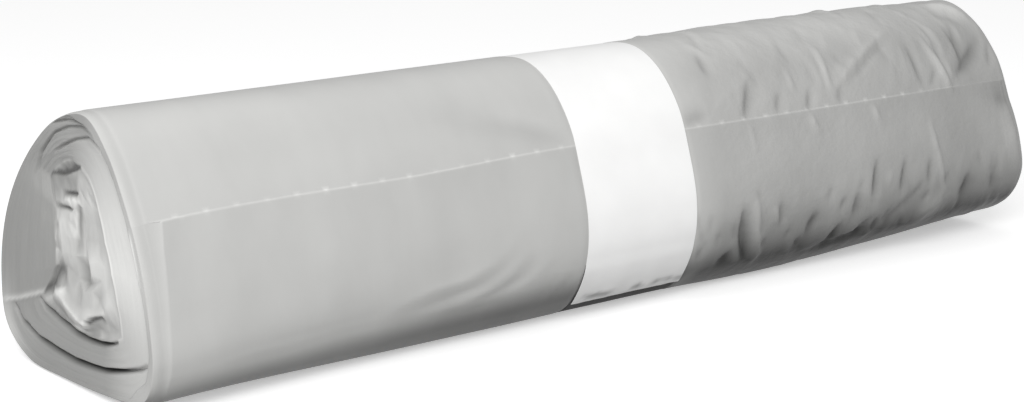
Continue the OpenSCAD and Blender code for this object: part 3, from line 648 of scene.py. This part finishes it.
near_shares = np.concatenate([np.linspace(0, 0.12, 16)[1:], np.linspace(0.12, 1, 54)[1:]])
for share in near_shares[::-1]:
    yz = rim_near * (1 - share) + core_near * share
    slits = line_relief(yz[:, 0], yz[:, 1], near_gaps, power=2, taper=0.2)
    depth = near_depth(share, slits)
    outer_ply = 0.22 * (share < ply_at) * smooth((-np.cos(angles) - 0.35) / 0.4)
    outer_ply *= smooth((np.sin(angles) + 0.7) / 0.4)
    # Painted highlights: bright creased film edges along the crimp low at the back, and a light line
    # along the front wall's inner edge.
    painted_highlight = 0.3 * np.exp(-((angles + 0.62) / 0.2) ** 2 - (share / 0.2) ** 2)
    painted_highlight += 0.14 * np.exp(-((1 - share) / 0.03) ** 2) * smooth((-np.cos(angles) - 0.2) / 0.4)
    top_shade = 0.15 * np.exp(-((angles - 1.88) / 0.2) ** 2) * smooth((0.55 - share) / 0.2)
    # Painted shade in the gaps between turns, and painted highlight where the crimp and the ridge stand
    # proud.
    slit_shade = slits * np.where(slits > 0, 0.06, 0.6)
    tone = end_shading(angles, share) + painted_highlight - top_shade - outer_ply - slit_shade
    add_row(np.column_stack([-half_len + np.maximum(depth, 0), yz]), turns_uv(share),
            np.clip(tone, 0.02, 0.95), on_end)

# Along the skin, rows stand closest at the free edge's start, beside the band and at the ends. The
# skin is even up to the band and darker beyond it, more so towards the far end. Painted shade darkens
# it low on the front and in its creases, with painted highlights on its ridges and a painted shadow
# beside the last bag's free edge.
stations = np.concatenate([
    -half_len + np.array([0, 0.3, 0.8, 1.4, 2, 2.8, 3.4, 3.9]),
    [lap_x, lap_x + 0.35],
    np.linspace(lap_x + 1, band_lo - 1.45, 74),
    [band_lo - 0.85, band_lo - 0.25, band_hi + 0.25, band_hi + 0.85],
    np.linspace(band_hi + 1.45, half_len - 2.6, 178),
    half_len - np.array([2.2, 1.9, 1.3, 0.7, 0.25, 0])])
for x in stations:
    ring, uv, creased = skin_row(float(x))
    place = place_at(x)
    past_band = float(smooth((x - band_hi) / 15))
    # The crumpled half grows a little darker towards the far end.
    far_darker = 0.05 * float(smooth((x - 70) / 90))
    to_band = float(smooth((x + 120) / 90)) * (1 - past_band)
    front = smooth((15.6 - place) / 1.2)
    below = np.where(place < spans, front, smooth((place - spans - 5.4) / 1.2))
    # Painted shade low on the front, where the roll turns under to the floor, deeper beyond the band.
    low_from = place - 10.1 - 0.15 * (1 - past_band) + 0.25 * to_band
    low = smooth(low_from / (0.8 + 0.15 * past_band)) * front
    tone = 0.5 - 0.05 * below - past_band * (0.02 + far_darker + 0.055 * below)
    tone = tone - 0.03 * past_band * smooth((place - 8.2) / 1.2) * front
    tone = tone - 0.14 * past_band * smooth((place - 9.1) / 1.3) * front - (0.34 + 0.07 * to_band) * low
    # Painted shade in the creases and painted highlights on the crests of the folds.
    tone += np.where(creased < 0, 0.1, 0.05) * np.clip(creased, -1.6, 1.2) * (0.7 + 0.3 * past_band)
    if x > lap_strip:
        # Painted shadow of the last bag's free edge on the film beside it.
        beside = math.exp(-((x + 165) / 6) ** 2) * smooth((2.6 - columns) / 1.2)
        tone = tone - (0.03 * np.exp(-columns / 3) + 0.03 * beside) * (columns < spans)
    if x < lap_strip:
        tone = tone - 0.02 * (1 - low)
    add_row(ring, uv, tone, on_skin)

# Hidden end: finished like the near one, its turns spiral in to a shallow crumpled middle.
far_turns = 5
far_dish = 2.5
far_gap = 2.2
rim_far = skin_row(half_len)[0][:, 1:]
far_angles = directions(rim_far)
core_far = middle + np.column_stack([14.5 * np.cos(far_angles), 21.5 * np.sin(far_angles)])
for share in np.linspace(0, 1, 31)[1:]:
    yz = rim_far * (1 - share) + core_far * share
    turn_at = share * far_turns - columns / spans
    gap = np.exp(-((turn_at - np.round(turn_at)) / 0.09) ** 2) * (share > 0.1) * (share < 0.95)
    depth = far_dish * share ** 1.3 + far_gap * gap
    add_row(np.column_stack([half_len - depth, yz]), turns_uv(share),
            end_shading(far_angles, share), on_end)
for share in np.linspace(1, 0, 12)[1:]:
    yz = middle + (core_far - middle) * share
    folded = np.array([1.6 * abs(noise.noise(Vector((y / 5, z / 12, 7.7)))) * 4 for y, z in yz])
    depth = far_dish + (2 + folded) * np.clip((1 - share) * 5, 0, 1)
    add_row(np.column_stack([half_len - depth, yz]), middle_uv(yz), np.full(len(yz), 0.6), on_end)

grid = np.array(rows)
grid[0] = grid[0].mean(axis=0)
grid[-1] = grid[-1].mean(axis=0)
grid[:, -1] = grid[:, 0]
grid_uv = np.array(uvs) * mm
last_row, last_column = grid.shape[0] - 1, grid.shape[1] - 1


def grid_spots(bm, last_row, last_column):
    """Row and column of each vertex of a flat grid that was just made, by the vertex's index."""
    bm.verts.index_update()
    return {vert.index: (round((vert.co.x + 1) / 2 * last_row), round((vert.co.y + 1) / 2 * last_column))
            for vert in bm.verts}


bm = bmesh.new()
bmesh.ops.create_grid(bm, x_segments=last_row, y_segments=last_column, size=1)
film_map = bm.loops.layers.uv.new("film")
tone_map = bm.verts.layers.float.new("tone")
spot = grid_spots(bm, last_row, last_column)
for face in bm.faces:
    row = min(spot[v.index][0] for v in face.verts)
    face.material_index = kinds[row] if kinds[row] == kinds[row + 1] else on_end
    face.smooth = True
    for loop in face.loops:
        loop[film_map].uv = grid_uv[spot[loop.vert.index]]
for vert in bm.verts:
    row, column = spot[vert.index]
    vert.co = Vector(grid[row, column]) * mm
    vert[tone_map] = tones[row][column]
bmesh.ops.remove_doubles(bm, verts=bm.verts, dist=0.000002)
bmesh.ops.recalc_face_normals(bm, faces=bm.faces)
bags_mesh = bpy.data.meshes.new("bags")
bm.to_mesh(bags_mesh)
bm.free()
bags = bpy.data.objects.new("bags", bags_mesh)
scene.collection.objects.link(bags)


def noise_node(nodes, links, where, scale, detail, roughness=0.5):
    """A noise texture on the given coordinates; gives its value back."""
    node = nodes.new("ShaderNodeTexNoise")
    node.inputs["Scale"].default_value = scale
    node.inputs["Detail"].default_value = detail
    node.inputs["Roughness"].default_value = roughness
    links.new(where, node.inputs["Vector"])
    return node.outputs["Fac"]


def film_material(name, streak_scale, streak_tone, bump, roughness):
    """Thin grey polyethylene film, many layers thick: satin, streaked and a little uneven."""
    material, nodes, links, shader = new_material(name)

    def calc(kind, *values):
        return math_node(nodes, links, kind, *values)

    # The tone attribute holds the film's grey with painted light and shade in it.
    tone = nodes.new("ShaderNodeAttribute")
    tone.attribute_name = "tone"
    uv = nodes.new("ShaderNodeUVMap")
    uv.uv_map = "film"
    stretch = nodes.new("ShaderNodeMapping")
    stretch.inputs["Scale"].default_value = streak_scale
    links.new(uv.outputs["UV"], stretch.inputs["Vector"])
    where = nodes.new("ShaderNodeTexCoord")
    streaks = noise_node(nodes, links, stretch.outputs["Vector"], 1, 6)
    clouds = noise_node(nodes, links, where.outputs["Object"], 38, 3)
    level = calc("MULTIPLY_ADD", streaks, streak_tone, tone.outputs["Fac"])
    level = calc("MULTIPLY_ADD", clouds, 0.06, level)
    raised = nodes.new("ShaderNodeBump")
    raised.inputs["Strength"].default_value = bump
    raised.inputs["Distance"].default_value = 0.0004
    links.new(streaks, raised.inputs["Height"])
    if name == "film_skin":
        # Torn perforation along the free edge of the last bag: a painted highlight along the edge, with
        # small light tufts, which are fainter below it. Both fade out towards the far end.
        line_wide, tuft_wide, tuft_high, tuft_every = 0.0006, 0.0013, 0.0016, 0.0047
        apart = nodes.new("ShaderNodeSeparateXYZ")
        links.new(uv.outputs["UV"], apart.inputs[0])
        along, around = apart.outputs["X"], apart.outputs["Y"]
        away = calc("SUBTRACT", half_round * span_len * mm, calc("ABSOLUTE", around))
        # Painted highlight along the edge, where the step of the last bag's film catches the light.
        edge_highlight = calc("SUBTRACT", 1.0, calc("DIVIDE", away, line_wide))
        edge_highlight = calc("MULTIPLY", calc("MAXIMUM", edge_highlight, 0.0), 0.075)
        tuft = calc("PINGPONG", calc("ADD", along, 0.2), tuft_every)
        tuft = calc("SUBTRACT", 1.0, calc("DIVIDE", tuft, tuft_wide))
        tuft = calc("MINIMUM", tuft, calc("SUBTRACT", 1.0, calc("DIVIDE", away, tuft_high)))
        upper = calc("MULTIPLY_ADD", calc("SIGN", around), 0.35, 0.65)
        tuft = calc("MULTIPLY", tuft, upper)
        ragged = calc("MULTIPLY_ADD", clouds, 4.0, -1.2)
        tuft = calc("MULTIPLY", tuft, calc("MAXIMUM", ragged, 0.25))
        tuft = calc("MULTIPLY", calc("MAXIMUM", tuft, 0.0), 0.13)
        on_flap = calc("GREATER_THAN", along, lap_x * mm)
        tufts_and_highlight = calc("MULTIPLY", calc("ADD", edge_highlight, tuft), on_flap)
        tufts_and_highlight = calc("MULTIPLY", tufts_and_highlight, range_node(nodes, links, along, 0.115, 0.155, 1.0, 0.15))
        level = calc("ADD", level, tufts_and_highlight)
        # The film is smooth up to the band and finely crumpled beyond it.
        sides = nodes.new("ShaderNodeSeparateXYZ")
        links.new(where.outputs["Object"], sides.inputs[0])
        beyond = range_node(nodes, links, sides.outputs["X"], 0.015, 0.045, 0, 1)
        crumpled = nodes.new("ShaderNodeBump")
        crumpled.inputs["Distance"].default_value = 0.0012
        links.new(calc("MULTIPLY", beyond, 0.38), crumpled.inputs["Strength"])
        small = noise_node(nodes, links, where.outputs["Object"], 190, 4, 0.6)
        links.new(small, crumpled.inputs["Height"])
        links.new(crumpled.outputs["Normal"], raised.inputs["Normal"])
    greys = nodes.new("ShaderNodeValToRGB")
    greys.color_ramp.elements[0].color = (0.02, 0.02, 0.019, 1)
    greys.color_ramp.elements[1].color = (0.97, 0.97, 0.95, 1)
    links.new(level, greys.inputs["Fac"])
    links.new(greys.outputs["Color"], shader.inputs["Base Color"])
    links.new(raised.outputs["Normal"], shader.inputs["Normal"])
    shader.inputs["Roughness"].default_value = roughness
    shader.inputs["Specular IOR Level"].default_value = 0.3
    return material


bags_mesh.materials.append(film_material("film_skin", (60, 25, 1), 0.09, 0.25, 0.42))
bags_mesh.materials.append(film_material("film_ends", (700, 25, 1), 0.05, 0.12, 0.5))
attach(bags, "root")
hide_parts("bag_roll")

# Paper band: a plain strip of white paper, wrapped once round the squeezed middle of the roll and
# glued where its end lies over its start, low on the front.
sheet_t = 0.0001
flat_width, flat_length = 0.0445, 0.294
band_end_at = 10.97
overlap = 1.0
strip_from = band_end_at + 0.06
strip_rows, strip_columns = 24, 288
strip_places = strip_from - np.arange(strip_columns + 1) * (spans + overlap) / strip_columns
skin_under = section(band_middle, strip_places)
skin_out = outward(band_middle, strip_places)
done = strip_from - strip_places
doubled = np.clip((overlap + 0.1 - done) * 4, 0, 1)
low_front = np.exp(-((strip_places - 10.9) / 0.9) ** 2)


def strip_noise(across, stretch, seed):
    """Unevenness at each place along the strip."""
    return np.array([noise.noise(Vector((across, v * stretch, seed))) for v in strip_places])


strip, shaded = [], []
for k in range(strip_rows + 1):
    x = band_lo + (band_hi - band_lo) * k / strip_rows
    wave = strip_noise(x / 9, 1.1, 3.3)
    ragged = strip_noise(x / 3.5, 3, 8.1) * np.exp(-(done / 0.5) ** 2)
    lift = np.maximum(0.05 + 0.18 * wave * (0.25 + low_front), 0.03)
    lift += 0.25 * np.clip(1 - done * 3, 0, 1)
    lift += 0.4 * np.maximum(ragged, 0)
    off = lift + paper_t * doubled
    p = skin_under + skin_out * off[:, None]
    p[:, 1] = np.maximum(p[:, 1], 0.0)
    strip.append(np.column_stack([np.full(len(p), x), p]))
    # Painted shade: dark streaks in the creases just above the glued end, and the inner layer under the
    # roll painted dark.
    creases = strip_noise(x / 4, 4, 5.7)
    creases = np.clip(0.5 + 1.8 * creases, 0, 1) * np.exp(-((done - 0.17) / 0.09) ** 2)
    shaded.append(1 - 0.55 * creases - 0.94 * smooth((done - 11.6) / 1.0))

bm = bmesh.new()
bmesh.ops.create_grid(bm, x_segments=strip_rows, y_segments=strip_columns, size=1)
paper_map = bm.loops.layers.uv.new("paper")
shade_map = bm.verts.layers.float.new("shade")
spot = grid_spots(bm, strip_rows, strip_columns)
for vert in bm.verts:
    row, column = spot[vert.index]
    for loop in vert.link_loops:
        loop[paper_map].uv = (row / strip_rows * flat_width, column / strip_columns * flat_length)
    vert.co = Vector(strip[row][column]) * mm
    vert[shade_map] = shaded[row][column]
for face in bm.faces:
    face.smooth = True
bmesh.ops.recalc_face_normals(bm, faces=bm.faces)
bmesh.ops.solidify(bm, geom=bm.faces[:], thickness=sheet_t)
for edge in bm.edges:
    edge.smooth = edge.calc_face_angle(0) < 0.8
band_mesh = bpy.data.meshes.new("band")
bm.to_mesh(band_mesh)
bm.free()
band = bpy.data.objects.new("band", band_mesh)
scene.collection.objects.link(band)

paper, nodes, links, shader = new_material("white_paper")
where = nodes.new("ShaderNodeTexCoord")
fibres = noise_node(nodes, links, where.outputs["Object"], 900, 6)
blotches = noise_node(nodes, links, where.outputs["Object"], 60, 2)
whites = nodes.new("ShaderNodeValToRGB")
whites.color_ramp.elements[0].position = 0.3
whites.color_ramp.elements[0].color = (0.9, 0.9, 0.895, 1)
whites.color_ramp.elements[1].position = 0.7
whites.color_ramp.elements[1].color = (0.94, 0.94, 0.935, 1)
links.new(blotches, whites.inputs["Fac"])
in_shade = nodes.new("ShaderNodeAttribute")
in_shade.attribute_name = "shade"
dimmed = nodes.new("ShaderNodeVectorMath")
dimmed.operation = "SCALE"
links.new(whites.outputs["Color"], dimmed.inputs[0])
links.new(in_shade.outputs["Fac"], dimmed.inputs["Scale"])
links.new(dimmed.outputs["Vector"], shader.inputs["Base Color"])
shader.inputs["Roughness"].default_value = 0.75
shader.inputs["Specular IOR Level"].default_value = 0.25
grain = nodes.new("ShaderNodeBump")
grain.inputs["Strength"].default_value = 0.15
grain.inputs["Distance"].default_value = 0.0001
links.new(fibres, grain.inputs["Height"])
links.new(grain.outputs["Normal"], shader.inputs["Normal"])
band_mesh.materials.append(paper)
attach(band, "root")
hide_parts("paper_band")
